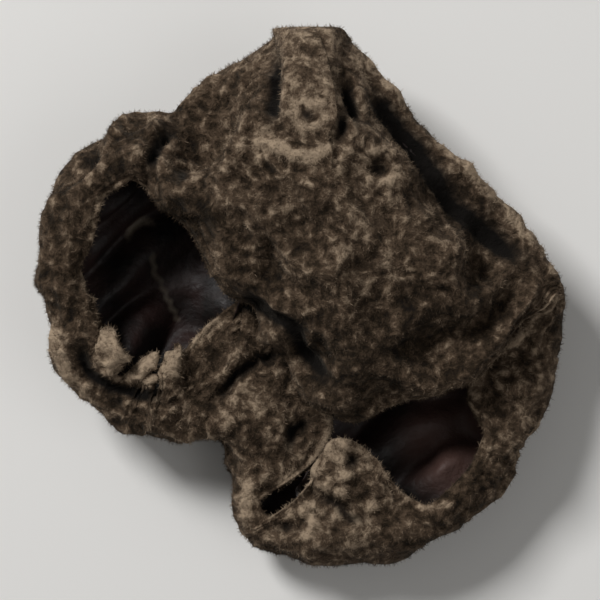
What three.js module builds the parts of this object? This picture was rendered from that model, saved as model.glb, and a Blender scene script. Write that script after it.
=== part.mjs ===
// A dried wood ear mushroom: one thin, tough sheet that grew out from a single stub on a log.
// Drying has drawn it into a flattened pouch, with its felted back outside and its smooth spore face inside.
// It lies on its flatter side, stub towards +Y, and the mouth of the pouch opens upwards along -Y and -X.
// The margin rolls inwards all round the mouth: a round whorl at -X, a broad lobe at -Y, a narrow fold at +X.
// Millimetres, +Z up, origin on the resting surface under the middle of the piece.
import * as THREE from "three";

const { clamp, degToRad, euclideanModulo, lerp, smoothstep } = THREE.MathUtils;

// Driving sizes
const SHEET_AT_STUB = 1.5; // thickness of the dried sheet where it leaves the stub
const SHEET = 0.85; // and over most of the cap
const SHEET_AT_MARGIN = 0.55; // and at its free edge
const STUB = new THREE.Vector3(0.6, 12.7, 6.0); // middle of the flat scar where it was picked off the log
const STUB_RADIUS = 1.15; // to the middle of the sheet
const NECK_SIDE = 1.2; // how far the sheet swells sideways as it leaves the stub
const NECK_DEEP = 4.0; // and up or down
const NECK_SAG = 2.2; // and how far its two sides hang
const NECK_FALL = 1.8; // and how far they drop back from the stub
const NECK_REACH = 0.35; // share of the way to the shoulder where that swelling is strongest
const SETTLE = 0.8; // how much of the lowest folds is pressed flat where the piece rests on them
const CRUMPLE = 0.55; // height of the uneven folds that drying has left all over the felt
const CRUMPLE_BEND = 1.1; // how far those folds wander from straight
const CRUMPLE_CALM = 0.6; // share of them that is lost on the rolled margin
const RIPPLE = 0.25; // height of the frill along the free edge
const RIPPLES = 14; // waves in that frill
const LEAST_EDGE = 0.1; // shortest free edge beyond the roll

// Places on the way out along the sheet
const NECK_END = 0.3; // where the thick neck has thinned down to the cap
const THINNING = 0.8; // where the cap starts to thin towards its margin
const RIM = 1; // where the margin starts to roll in
const FREE_EDGE = 2;

// How finely the surface is divided
const AROUND = 90;
const CAP_ROWS = 18;
const LIP_ROWS = 9;
const HOLLOW_FIRST_ROW = 3; // the hollow starts this many rows from the scar, so the stub is solid

// Stations round the mouth, starting at the pinch in its front lip and going round by the whorl.
// rim: where the margin starts to roll in. leg: the last leg of the sheet on its way there.
// roll: radius of the rolled margin. turn: how far it rolls, in degrees.
// edge: free edge beyond the roll, below zero where it comes to an end sharply.
const STATIONS = [
  { rim: [1.7, -5.4, 6.8], leg: [-0.9, -3.4, -2.8], roll: 0.8, turn: 110, edge: 0.3 }, // pinch
  { rim: [-1.2, -1.7, 7.8], leg: [-2.4, -2.6, -2.4], roll: 0.8, turn: 115, edge: 0.3 }, // front lip
  { rim: [-3.9, 2.1, 8.4], leg: [-2.9, -1.6, -1.8], roll: 0.9, turn: 115, edge: 0.3 },
  { rim: [-6.0, 4.9, 8.4], leg: [-2.9, -1.2, -1.0], roll: 1.0, turn: 115, edge: 0.3 }, // whorl joins the cap
  { rim: [-6.6, 6.7, 8.1], leg: [-2.0, -0.7, 0.6], roll: 1.0, turn: 105, edge: 0.2 },
  { rim: [-8.5, 7.5, 7.6], leg: [-0.7, -1.5, 2.4], roll: 1.0, turn: 95, edge: 0.2 },
  { rim: [-10.6, 6.6, 7.1], leg: [0.4, -1.7, 3.0], roll: 1.0, turn: 100, edge: 0.3 },
  { rim: [-12.2, 4.4, 6.4], leg: [0.0, -0.6, 3.8], roll: 1.1, turn: 120, edge: 0.3 },
  { rim: [-12.8, 1.0, 5.6], leg: [-0.7, -0.1, 4.4], roll: 1.1, turn: 155, edge: 0.2 }, // outermost of the whorl
  { rim: [-11.9, -3.2, 4.9], leg: [-1.0, -0.9, 4.6], roll: 1.1, turn: 155, edge: 0.8 },
  { rim: [-9.3, -5.7, 4.4], leg: [-0.4, -1.2, 4.2], roll: 1.2, turn: 120, edge: 0.8 },
  { rim: [-7.3, -6.4, 4.1], leg: [-0.2, -0.9, 4.0], roll: 1.2, turn: 106, edge: 1.4 },
  { rim: [-5.0, -6.7, 3.8], leg: [-0.2, -0.5, 3.6], roll: 1.2, turn: 100, edge: 6.4 }, // tongue
  { rim: [-3.4, -7.6, 3.4], leg: [-0.5, -0.9, 3.4], roll: 1.0, turn: 108, edge: 4.2 },
  { rim: [-2.9, -10.9, 2.8], leg: [-0.9, -0.7, 2.8], roll: 1.0, turn: 95, edge: -0.8 }, // notch
  { rim: [-0.8, -12.7, 2.8], leg: [-0.2, -1.1, 3.0], roll: 1.3, turn: 100, edge: 2.7 },
  { rim: [2.6, -12.9, 2.9], leg: [0, -1.2, 3.2], roll: 1.6, turn: 100, edge: 4.6 }, // broad lobe
  { rim: [6.4, -12.0, 3.3], leg: [0.4, -1.1, 3.7], roll: 1.2, turn: 104, edge: 2.5 },
  { rim: [9.4, -9.5, 3.7], leg: [0.9, -0.8, 4.0], roll: 0.9, turn: 120, edge: -1.8 },
  { rim: [11.2, -6.0, 4.1], leg: [1.2, -0.2, 4.2], roll: 1.1, turn: 118, edge: 1.6 }, // narrow fold
  { rim: [12.1, -3.0, 3.9], leg: [0.9, -0.9, 3.1], roll: 0.6, turn: 90, edge: 2.0 },
  { rim: [12.5, 0.7, 5.9], leg: [0.3, -1.7, 1.2], roll: 0.5, turn: 40, edge: 0.1 }, // right corner
  { rim: [9.0, -2.9, 7.1], leg: [0.6, -3.5, -1.5], roll: 0.8, turn: 80, edge: 0.2 },
  { rim: [5.3, -4.5, 7.1], leg: [0.2, -3.6, -2.4], roll: 0.8, turn: 100, edge: 0.3 },
];

// Long creases and ridges that run out from the stub.
// at: place among the stations. wide: how far it spreads to either side, in stations.
// high: height outwards from the felt, so a crease is negative. from, to: its ends on the way out.
const CREASES = [
  { at: 0.6, wide: 0.45, high: 0.45, from: 0, to: 0.42 }, // raised root below the scar
  { at: 21.6, wide: 0.16, high: -1.0, from: 0.08, to: 0.95 }, // groove beside the straight edge
  { at: 20.4, wide: 0.7, high: -0.5, from: 0.3, to: 1.0 }, // flat side below that edge
  { at: 14.5, wide: 1.6, high: -1.0, from: 0.32, to: 0.9 }, // broad dent in the underside
  { at: 17.9, wide: 0.5, high: 0.8, from: 0.08, to: 0.75 }, // swelling beside it
  { at: 5.2, wide: 0.5, high: -0.45, from: 0.3, to: 0.9 }, // dip between the cap and the whorl
  { at: 3.8, wide: 0.3, high: -0.8, from: 0.4, to: 1.05 }, // where the whorl folds off the cap
  { at: 1.5, wide: 0.3, high: -0.5, from: 0.3, to: 1.0 },
  { at: 23.2, wide: 0.3, high: -0.5, from: 0.35, to: 1.0 },
  { at: 7.4, wide: 0.35, high: -0.6, from: 0.3, to: 1.1 },
  { at: 9.6, wide: 0.35, high: -0.6, from: 0.4, to: 1.1 },
  { at: 13.2, wide: 0.35, high: -0.6, from: 0.2, to: 1.0 },
  { at: 17.6, wide: 0.35, high: -0.6, from: 0.4, to: 1.1 },
];

// The uneven folds are the sum of these crossing waves, in radians per millimetre along each axis.
const WAVES = [
  { run: new THREE.Vector3(0.85, 0.35, 0.6), start: 0.4 },
  { run: new THREE.Vector3(-0.4, 0.8, 0.9), start: 1.9 },
  { run: new THREE.Vector3(0.3, -0.95, 0.5), start: 4.0 },
];

// One value of the stations at a place among them, on a smooth closed curve through them all.
function station(place, value) {
  const first = Math.floor(place);
  const t = place - first;
  const [a, b, c, d] = [-1, 0, 1, 2].map((step) =>
    value(STATIONS[euclideanModulo(first + step, STATIONS.length)]),
  );
  const slope = c - a;
  const bend = 2 * a - 5 * b + 4 * c - d;
  const twist = 3 * b - a - 3 * c + d;
  return b + 0.5 * (slope * t + bend * t ** 2 + twist * t ** 3);
}

const stationPoint = (place, key) =>
  new THREE.Vector3(...[0, 1, 2].map((axis) => station(place, (s) => s[key][axis])));

// The bare sheet, without its folds: out runs from 0 at the stub over the rim to the free edge.
function bareSheet(place, out) {
  const turn = (place / STATIONS.length) * 2 * Math.PI;
  const side = new THREE.Vector3(-Math.sin(turn), 0, Math.cos(turn));
  const rim = stationPoint(place, "rim");
  const leg = stationPoint(place, "leg");
  const start = STUB.clone().addScaledVector(side, STUB_RADIUS);
  const shoulder = rim.clone().sub(leg);
  const neck = start
    .clone()
    .lerp(shoulder, NECK_REACH)
    .add(new THREE.Vector3(side.x * NECK_SIDE, 0, side.z * NECK_DEEP))
    .sub(new THREE.Vector3(0, NECK_FALL, NECK_SAG).multiplyScalar(side.x ** 2));
  if (out <= RIM) return new THREE.CubicBezierCurve3(start, neck, shoulder, rim).getPoint(out);

  const along = leg.clone().normalize();
  const step = 0.02;
  const rimwards = stationPoint(place + step, "rim").sub(stationPoint(place - step, "rim"));
  const inward = new THREE.Vector3().crossVectors(along, rimwards).normalize();
  const radius = station(place, (s) => s.roll);
  const roll = degToRad(station(place, (s) => s.turn));
  const edge = Math.max(station(place, (s) => s.edge), LEAST_EDGE);
  const run = ((out - RIM) / (FREE_EDGE - RIM)) * (radius * roll + edge);
  const angle = Math.min(run / radius, roll);
  const beyond = Math.max(run - radius * roll, 0);
  return rim
    .addScaledVector(along, radius * Math.sin(angle) + beyond * Math.cos(roll))
    .addScaledVector(inward, radius * (1 - Math.cos(angle)) + beyond * Math.sin(roll));
}

// Which way the felt faces there.
function feltNormal(place, out) {
  const step = 0.003;
  const across = bareSheet(place + step, out).sub(bareSheet(place - step, out));
  const further = bareSheet(place, Math.min(out + step, FREE_EDGE));
  const along = further.sub(bareSheet(place, Math.max(out - step, 0)));
  return new THREE.Vector3().crossVectors(across, along).normalize();
}

// The crossing waves, bent a little so that no two folds run alike, with narrow ridges where they cancel.
function crumple({ x, y, z }) {
  const bent = new THREE.Vector3(
    x + CRUMPLE_BEND * Math.sin(0.5 * y + 0.4 * z + 0.7),
    y + CRUMPLE_BEND * Math.sin(0.45 * x - 0.5 * z + 2.1),
    z,
  );
  const sum = WAVES.reduce((total, wave) => total + Math.sin(wave.run.dot(bent) + wave.start), 0);
  const ridgeWidth = 0.3;
  return 1 - Math.hypot(sum, ridgeWidth);
}

// How far the folds lift the felt off the bare sheet.
function folds(place, out, spot) {
  const grown = smoothstep(out, 0.05, 0.5);
  const calmed = 1 - CRUMPLE_CALM * smoothstep(out, 0.95, 1.3);
  let lift = CRUMPLE * grown * calmed * crumple(spot);
  for (const crease of CREASES) {
    const half = STATIONS.length / 2;
    const apart = euclideanModulo(place - crease.at + half, STATIONS.length) - half;
    const wide = crease.wide / clamp(out, NECK_END, RIM);
    const along = clamp((out - crease.from) / (crease.to - crease.from), 0, 1);
    lift += crease.high * Math.sin(Math.PI * along) * Math.exp(-((apart / wide) ** 2));
  }
  const frill = Math.sin((2 * Math.PI * RIPPLES * place) / STATIONS.length);
  return lift + RIPPLE * smoothstep(out, 1.3, FREE_EDGE) * frill;
}

function thickness(out) {
  if (out < NECK_END) return lerp(SHEET_AT_STUB, SHEET, out / NECK_END);
  return lerp(SHEET, SHEET_AT_MARGIN, clamp((out - THINNING) / (FREE_EDGE - THINNING), 0, 1));
}

// The outer skin runs from the scar out to the free edge, and the inner skin from there back into the hollow.
const outs = [];
for (let row = 0; row < CAP_ROWS; row += 1) outs.push(lerp(0, RIM, row / CAP_ROWS));
for (let row = 0; row <= LIP_ROWS; row += 1) outs.push(lerp(RIM, FREE_EDGE, row / LIP_ROWS));
const skins = [
  ...outs.map((out) => ({ out, side: 1 })),
  ...outs.slice(HOLLOW_FIRST_ROW).reverse().map((out) => ({ out, side: -1 })),
];

const positions = [];
const index = [];

for (const { out, side } of skins) {
  for (let k = 0; k < AROUND; k += 1) {
    const place = (k / AROUND) * STATIONS.length;
    const spot = bareSheet(place, out);
    const lift = folds(place, out, spot) + (side * thickness(out)) / 2;
    spot.addScaledVector(feltNormal(place, out), lift);
    positions.push(spot.x, spot.y, Math.max(spot.z - SETTLE, side > 0 ? 0 : SHEET_AT_MARGIN));
  }
}

for (let ring = 1; ring < skins.length; ring += 1) {
  const a = (ring - 1) * AROUND;
  const b = ring * AROUND;
  for (let k = 0; k < AROUND; k += 1) {
    const n = (k + 1) % AROUND;
    index.push(a + k, b + n, b + k, a + k, a + n, b + n);
  }
}

// The scar closes the outer end and a point deep in the neck closes the hollow.
const scar = positions.length / 3;
positions.push(STUB.x, STUB.y, STUB.z - SETTLE);
const deepest = (skins.length - 1) * AROUND;
const deep = new THREE.Vector3();
for (let k = 0; k < AROUND; k += 1) {
  deep.add(new THREE.Vector3().fromArray(positions, 3 * (deepest + k)).divideScalar(AROUND));
}
positions.push(deep.x, deep.y, deep.z);
for (let k = 0; k < AROUND; k += 1) {
  const n = (k + 1) % AROUND;
  index.push(scar, n, k, scar + 1, deepest + k, deepest + n);
}

const geometry = new THREE.BufferGeometry();
geometry.setAttribute("position", new THREE.Float32BufferAttribute(positions, 3));
geometry.setIndex(index);
geometry.computeBoundingBox();
const middle = geometry.boundingBox.getCenter(new THREE.Vector3());
geometry.translate(-middle.x, -middle.y, 0);
geometry.computeVertexNormals();

const felt = new THREE.MeshStandardMaterial({ color: 0x3c3228, roughness: 0.95, metalness: 0 });
const fruitBody = new THREE.Mesh(geometry, felt);
fruitBody.name = "fruit_body";

const mushroom = new THREE.Group();
mushroom.add(fruitBody);

export default mushroom;
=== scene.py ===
"""A dried wood ear mushroom that lies on a pale floor, seen from straight above.

The sheet is shaped by the same sizes as the solid, and adds what is finer: wrinkles, slits, frills and felt.
"""

import logging
import math
from dataclasses import dataclass
from enum import Enum

import bmesh
import bpy
import numpy as np
from mathutils import Euler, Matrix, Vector, noise


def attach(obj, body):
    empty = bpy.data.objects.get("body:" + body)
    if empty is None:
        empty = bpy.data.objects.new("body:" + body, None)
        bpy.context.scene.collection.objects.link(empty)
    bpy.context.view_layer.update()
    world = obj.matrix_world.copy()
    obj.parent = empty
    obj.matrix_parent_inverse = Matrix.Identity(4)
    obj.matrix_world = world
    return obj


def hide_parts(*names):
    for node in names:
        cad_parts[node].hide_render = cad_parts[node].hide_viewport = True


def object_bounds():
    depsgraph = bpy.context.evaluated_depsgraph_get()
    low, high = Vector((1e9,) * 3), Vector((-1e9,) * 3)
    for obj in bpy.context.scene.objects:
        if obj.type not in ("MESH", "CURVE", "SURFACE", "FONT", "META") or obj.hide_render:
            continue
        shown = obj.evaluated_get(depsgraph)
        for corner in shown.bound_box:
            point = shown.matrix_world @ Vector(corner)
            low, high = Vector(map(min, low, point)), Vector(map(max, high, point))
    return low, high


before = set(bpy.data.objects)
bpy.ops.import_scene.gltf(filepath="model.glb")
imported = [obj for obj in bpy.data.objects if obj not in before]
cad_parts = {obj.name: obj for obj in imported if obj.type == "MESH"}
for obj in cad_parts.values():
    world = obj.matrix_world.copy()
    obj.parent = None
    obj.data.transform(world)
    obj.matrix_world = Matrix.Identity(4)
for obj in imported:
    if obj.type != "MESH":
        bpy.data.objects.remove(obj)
CAD_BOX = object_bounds()

MM = 0.001  # the sheet is worked out in millimetres and made in metres
LOG = logging.getLogger("wood_ear")
CHANCE = 5  # where the bends of the fine web start from, so that every run draws the same

Array = np.ndarray
Pair = tuple[float, float]
Spot = tuple[float, float, float]
Tone = tuple[int, int, int]
Tones = tuple[tuple[float, Tone], ...]
Socket = bpy.types.NodeSocket


def rise(value: Array, low: float, high: float) -> Array:
    """Return a step that rises smoothly from 0 at low to 1 at high."""
    t = np.clip((value - low) / (high - low), 0, 1)
    return t * t * (3 - 2 * t)


def unit(vectors: Array) -> Array:
    """Return the vectors at length 1."""
    return vectors / np.linalg.norm(vectors, axis=-1, keepdims=True)


def hue(tone: Tone) -> tuple[float, float, float, float]:
    """Turn a colour as a screen shows it, 0 to 255, into the shader's linear values.

    Args:
        tone: Its red, green and blue on the screen.

    Returns:
        Linear red, green, blue and an alpha of 1.
    """
    linear = []
    for level in tone:
        share = level / 255
        linear.append(share / 12.92 if share <= 0.04045 else ((share + 0.055) / 1.055) ** 2.4)
    return (*linear, 1.0)


def summed(parts: tuple, value: str, spot: Array) -> Array:
    """Return the sum of one value of the parts, each as strong as its part is at the spot."""
    return sum(getattr(part, value) * part.strength(spot) for part in parts)


def add_object(name: str, data: bpy.types.ID) -> bpy.types.Object:
    """Add an object to the scene.

    Args:
        name: Its name.
        data: Its mesh, light or camera.

    Returns:
        The object.
    """
    thing = bpy.data.objects.new(name, data)
    bpy.context.scene.collection.objects.link(thing)
    return thing


@dataclass(frozen=True)
class Station:
    """One place round the mouth where the run of the sheet is set out."""

    rim: Spot  # where the margin starts to roll in
    leg: Spot  # the last leg of the sheet on its way there
    roll: float  # radius of the rolled margin
    turn: float  # how far it rolls, in degrees
    edge: float  # free edge beyond the roll, below zero where it comes to an end sharply


STATIONS: tuple[Station, ...] = (
    Station((1.7, -5.4, 6.8), (-0.9, -3.4, -2.8), 0.8, 110, 0.3),  # pinch
    Station((-1.2, -1.7, 7.8), (-2.4, -2.6, -2.4), 0.8, 115, 0.3),  # front lip
    Station((-3.9, 2.1, 8.4), (-2.9, -1.6, -1.8), 0.9, 115, 0.3),
    Station((-6.0, 4.9, 8.4), (-2.9, -1.2, -1.0), 1.0, 115, 0.3),  # whorl joins the cap
    Station((-6.6, 6.7, 8.1), (-2.0, -0.7, 0.6), 1.0, 105, 0.2),
    Station((-8.5, 7.5, 7.6), (-0.7, -1.5, 2.4), 1.0, 95, 0.2),
    Station((-10.6, 6.6, 7.1), (0.4, -1.7, 3.0), 1.0, 100, 0.3),
    Station((-12.2, 4.4, 6.4), (0.0, -0.6, 3.8), 1.1, 120, 0.3),
    Station((-12.8, 1.0, 5.6), (-0.7, -0.1, 4.4), 1.1, 155, 0.2),  # outermost of the whorl
    Station((-11.9, -3.2, 4.9), (-1.0, -0.9, 4.6), 1.1, 155, 0.8),
    Station((-9.3, -5.7, 4.4), (-0.4, -1.2, 4.2), 1.2, 120, 0.8),
    Station((-7.3, -6.4, 4.1), (-0.2, -0.9, 4.0), 1.2, 106, 1.4),
    Station((-5.0, -6.7, 3.8), (-0.2, -0.5, 3.6), 1.2, 100, 6.4),  # tongue
    Station((-3.4, -7.6, 3.4), (-0.5, -0.9, 3.4), 1.0, 108, 4.2),
    Station((-2.9, -10.9, 2.8), (-0.9, -0.7, 2.8), 1.0, 95, -0.8),  # notch
    Station((-0.8, -12.7, 2.8), (-0.2, -1.1, 3.0), 1.3, 100, 2.7),
    Station((2.6, -12.9, 2.9), (0.0, -1.2, 3.2), 1.6, 100, 4.6),  # broad lobe
    Station((6.4, -12.0, 3.3), (0.4, -1.1, 3.7), 1.2, 104, 2.5),
    Station((9.4, -9.5, 3.7), (0.9, -0.8, 4.0), 0.9, 120, -1.8),
    Station((11.2, -6.0, 4.1), (1.2, -0.2, 4.2), 1.1, 118, 1.6),  # narrow fold
    Station((12.1, -3.0, 3.9), (0.9, -0.9, 3.1), 0.6, 90, 2.0),
    Station((12.5, 0.7, 5.9), (0.3, -1.7, 1.2), 0.5, 40, 0.1),  # right corner
    Station((9.0, -2.9, 7.1), (0.6, -3.5, -1.5), 0.8, 80, 0.2),
    Station((5.3, -4.5, 7.1), (0.2, -3.6, -2.4), 0.8, 100, 0.3),
)


@dataclass(frozen=True)
class Crease:
    """A long crease or ridge that runs out from the stub."""

    at: float  # place among the stations
    wide: float  # how far it spreads to either side, in stations
    high: float  # height outwards from the felt, so a crease is negative
    start: float  # where it starts on the way out
    end: float  # where it ends on the way out


CREASES: tuple[Crease, ...] = (
    Crease(0.6, 0.45, 0.45, 0.0, 0.42),  # raised root below the scar
    Crease(21.6, 0.16, -1.0, 0.08, 0.95),  # groove beside the straight edge
    Crease(20.4, 0.7, -0.5, 0.3, 1.0),  # flat side below that edge
    Crease(14.5, 1.6, -1.0, 0.32, 0.9),  # broad dent in the underside
    Crease(17.9, 0.5, 0.8, 0.08, 0.75),  # swelling beside it
    Crease(5.2, 0.5, -0.45, 0.3, 0.9),  # dip between the cap and the whorl
    Crease(3.8, 0.3, -0.8, 0.4, 1.05),  # where the whorl folds off the cap
    Crease(1.5, 0.3, -0.5, 0.3, 1.0),
    Crease(23.2, 0.3, -0.5, 0.35, 1.0),
    Crease(7.4, 0.35, -0.6, 0.3, 1.1),
    Crease(9.6, 0.35, -0.6, 0.4, 1.1),
    Crease(13.2, 0.35, -0.6, 0.2, 1.0),
    Crease(17.6, 0.35, -0.6, 0.4, 1.1),
)


@dataclass(frozen=True)
class Curl:
    """One small curl of the free edge, or a gap between two."""

    at: float  # its middle, as a place among the stations
    wide: float  # how far it reaches to either side, in stations
    longer: float  # how much longer the free edge is, in millimetres, below zero in a gap
    lean: float = 0.0  # how much further the margin rolls, in degrees
    puff: float = 0.0  # how far the felt is puffed up, in millimetres
    blunt: int = 4  # 2 for a pointed curl, 4 for a round one
    pale: float = 0.0  # how pale its tip is, 0 to 1

    def strength(self, place: Array) -> Array:
        """Return 1 in the middle of the curl, down to 0 beyond its sides."""
        return np.exp(-(np.abs((place - self.at) / self.wide) ** self.blunt))


CURLS: tuple[Curl, ...] = (
    Curl(9.33, 0.32, 1.0, -45.0, 0.35, 4, 1.0),
    Curl(9.68, 0.08, -1.2),
    Curl(9.95, 0.18, 1.7, -22.0, 0.1, 2, 1.0),
    Curl(10.22, 0.09, -1.2),
    Curl(10.5, 0.21, 0.5, -10.0, 0.1, 4, 0.8),
    Curl(10.8, 0.11, -1.3),
    Curl(11.12, 0.24, 1.0, -12.0, 0.15, 2, 0.8),
    Curl(11.66, 0.34, -1.7),
    Curl(14.7, 0.36, 1.0, -8.0, 0.1),
    Curl(17.3, 0.5, -1.4),
)


@dataclass(frozen=True)
class Sheet:
    """The dried sheet, from the stub over the rim to its free edge.

    A point on it is a place among the stations, and how far out it lies: 0 at the stub, 1 at the rim,
    2 at the free edge.
    """

    at_stub: float = 1.5  # how thick it is at the stub, on the cap and at the free edge
    on_cap: float = 0.85
    at_margin: float = 0.55
    thinning: float = 0.8  # how far out it starts to thin
    stub: Spot = (0.6, 12.7, 6.0)
    stub_radius: float = 1.15
    neck_side: float = 1.2  # how far it swells beyond the stub, to the sides
    neck_deep: float = 4.0  # and up and down
    neck_sag: float = 2.2  # how far its sides droop there
    neck_fall: float = 1.8  # and how far they are drawn on
    neck_reach: float = 0.35  # how far on towards the last leg it does so
    neck_end: float = 0.3  # where on the way out the neck ends
    crumple: float = 0.55  # height of the broad folds
    crumple_bend: float = 1.1
    crumple_waves: tuple[tuple[float, float, float, float], ...] = (
        (0.85, 0.35, 0.6, 0.4),
        (-0.4, 0.8, 0.9, 1.9),
        (0.3, -0.95, 0.5, 4.0),
    )
    crumple_round: float = 0.3
    crumple_grown: Pair = (0.05, 0.5)  # where on the way out they grow, and where they get calmer
    crumple_calmed: Pair = (0.95, 1.3)
    crumple_calm: float = 0.6
    ripple: float = 0.25  # height of the ripples along the free edge
    ripples: int = 14
    ripple_grown: Pair = (1.3, 2)
    least_edge: float = 0.1
    puffed: Pair = (1.4, 1.8)  # where on the way out the curls puff up

    def between(self, place: Array) -> Array:
        """Read the stations' values on a smooth closed curve through them all.

        Args:
            place: Places among the stations.

        Returns:
            Rim, leg, roll, turn and edge, along the last axis.
        """
        values = np.array([(*s.rim, *s.leg, s.roll, s.turn, s.edge) for s in STATIONS], float)
        first = np.floor(place).astype(int)
        t = (place - first)[..., None]
        a, b, c, d = (values[(first + step) % len(STATIONS)] for step in (-1, 0, 1, 2))
        bend, twist = 2 * a - 5 * b + 4 * c - d, 3 * b - a - 3 * c + d
        return b + 0.5 * ((c - a) * t + bend * t**2 + twist * t**3)

    def bare(self, place: Array, out: Array) -> Array:
        """Find the middle of the sheet without its folds.

        Args:
            place: Places among the stations.
            out: How far out on the sheet.

        Returns:
            A point for each.
        """
        place, out = np.broadcast_arrays(place, out)
        angle = place / len(STATIONS) * 2 * np.pi
        side = np.stack([-np.sin(angle), np.zeros_like(angle), np.cos(angle)], axis=-1)
        values = self.between(place)
        rim, leg = values[..., 0:3], values[..., 3:6]
        start = np.array(self.stub) + side * self.stub_radius
        shoulder = rim - leg
        swell = side * np.array([self.neck_side, 0, self.neck_deep])
        sag = side[..., :1] ** 2 * np.array([0, self.neck_fall, self.neck_sag])
        neck = start + (shoulder - start) * self.neck_reach + swell - sag
        t = np.clip(out, 0, 1)[..., None]
        cap = (1 - t) ** 3 * start + 3 * (1 - t) ** 2 * t * neck + 3 * (1 - t) * t**2 * shoulder + t**3 * rim

        along = unit(leg)
        step = 0.02
        rimwards = self.between(place + step)[..., 0:3] - self.between(place - step)[..., 0:3]
        inward = unit(np.cross(along, rimwards))
        radius = values[..., 6]
        roll = np.radians(values[..., 7] + summed(CURLS, "lean", place))
        edge = np.maximum(values[..., 8] + summed(CURLS, "longer", place), self.least_edge)
        run = np.maximum(out - 1, 0) * (radius * roll + edge)
        turned = np.minimum(run / radius, roll)
        beyond = np.maximum(run - radius * roll, 0)
        forwards = radius * np.sin(turned) + beyond * np.cos(roll)
        inwards = radius * (1 - np.cos(turned)) + beyond * np.sin(roll)
        return cap + along * forwards[..., None] + inward * inwards[..., None]

    def outwards(self, place: Array, out: Array) -> tuple[Array, Array]:
        """Find which way the felt faces, and which way the sheet runs on.

        Args:
            place: Places among the stations.
            out: How far out on the sheet.

        Returns:
            The felt's normal and the direction towards the free edge, each at length 1.
        """
        step = 0.003
        across = self.bare(place + step, out) - self.bare(place - step, out)
        along = self.bare(place, np.minimum(out + step, 2)) - self.bare(place, np.maximum(out - step, 0))
        return unit(np.cross(across, along)), unit(along)

    def folds(self, place: Array, out: Array, spot: Array) -> Array:
        """Say how far the folds of the solid lift the felt off the bare sheet.

        Args:
            place: Places among the stations.
            out: How far out on the sheet.
            spot: The points of the bare sheet there.

        Returns:
            A height for each.
        """
        x, y, z = spot[..., 0], spot[..., 1], spot[..., 2]
        u = x + self.crumple_bend * np.sin(0.5 * y + 0.4 * z + 0.7)
        v = y + self.crumple_bend * np.sin(0.45 * x - 0.5 * z + 2.1)
        waves = sum(np.sin(a * u + b * v + c * z + shift) for a, b, c, shift in self.crumple_waves)
        grown = rise(out, *self.crumple_grown)
        calmed = 1 - self.crumple_calm * rise(out, *self.crumple_calmed)
        lift = self.crumple * grown * calmed * (1 - np.hypot(waves, self.crumple_round))
        for crease in CREASES:
            half = len(STATIONS) / 2
            apart = np.mod(place - crease.at + half, len(STATIONS)) - half
            wide = crease.wide / np.clip(out, self.neck_end, 1)
            along = np.clip((out - crease.start) / (crease.end - crease.start), 0, 1)
            lift = lift + crease.high * np.sin(np.pi * along) * np.exp(-((apart / wide) ** 2))
        ripple = np.sin(2 * np.pi * self.ripples * place / len(STATIONS))
        puff = summed(CURLS, "puff", place) * rise(out, *self.puffed)
        return lift + self.ripple * rise(out, *self.ripple_grown) * ripple + puff

    def thickness(self, out: Array) -> Array:
        """Return how thick the sheet is, that far out."""
        stops = (0, self.neck_end, self.thinning, 2)
        return np.interp(out, stops, (self.at_stub, self.on_cap, self.on_cap, self.at_margin))


@dataclass(frozen=True)
class Samples:
    """Many places on the sheet, with an array for each thing that is known of them."""

    place: Array  # the place among the stations
    out: Array  # how far out on the sheet
    spot: Array  # the point of the bare sheet there
    seen: Array  # the same point on the folded sheet
    facing: Array  # how much the felt faces up there, 1 where it is level
    felt: Array  # 1 on the felt, 0 on the spore face


class Side(Enum):
    """Which part of the sheet a mark lies on."""

    CAP = "cap"
    MARGIN = "margin"
    BOTH = "both"
    FACE = "face"


@dataclass(frozen=True)
class Mark:
    """A slit or a ridge along a line seen from above."""

    side: Side  # the part of the sheet it lies on
    line: tuple[Pair, ...]  # its corners, as x and y
    half: float  # half its width
    high: float  # its height, so a slit is negative
    lip: float = 0.0  # height of the raised lips on both sides of it
    pale: float = 0.0  # how pale the sheet is on the lips, or on the ridge itself
    dark: float = 0.0  # how dark the painted shade in the slit is
    end: float = 0.25  # how strong it still is at its very ends
    aside: float = 2.1  # where its lips lie, in half widths

    def nearest(self, spot: Array) -> tuple[Array, Array]:
        """Measure how far each point is from the line.

        Args:
            spot: Points of the sheet.

        Returns:
            The distance to the line, and the distance from its nearer end along it.
        """
        seen = spot[..., :2]
        best = np.full(seen.shape[:-1], np.inf)
        along = np.zeros(seen.shape[:-1])
        length = 0.0
        for start, end in zip(self.line, self.line[1:]):
            a, b = np.array(start), np.array(end)
            leg = np.linalg.norm(b - a)
            share = np.clip(((seen - a) @ (b - a)) / leg**2, 0, 1)
            apart = np.linalg.norm(seen - a - share[..., None] * (b - a), axis=-1)
            closer = apart < best
            best = np.where(closer, apart, best)
            along = np.where(closer, length + share * leg, along)
            length += leg
        return best, np.minimum(along, length - along)

    def shape(self, spot: Array) -> tuple[Array, Array, Array]:
        """Work out the mark's height, how pale it is and how dark its painted shade is.

        Args:
            spot: Points of the sheet.

        Returns:
            The height in millimetres, the paleness and the darkness of its painted shade, each 0 to 1.
        """
        apart, from_end = self.nearest(spot)
        fade = self.end + (1 - self.end) * rise(from_end, 0, 3 * self.half)
        core = np.exp(-((apart / self.half) ** 2)) * fade
        band = np.exp(-((apart / self.half) ** 4)) * fade
        beside = np.exp(-(((apart - self.aside * self.half) / self.half) ** 2)) * fade
        lit = beside if self.high < 0 else band
        # the dark is painted shade along the middle of the mark, most of all in the slits
        return self.high * core + self.lip * beside, self.pale * lit, self.dark * band


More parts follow.
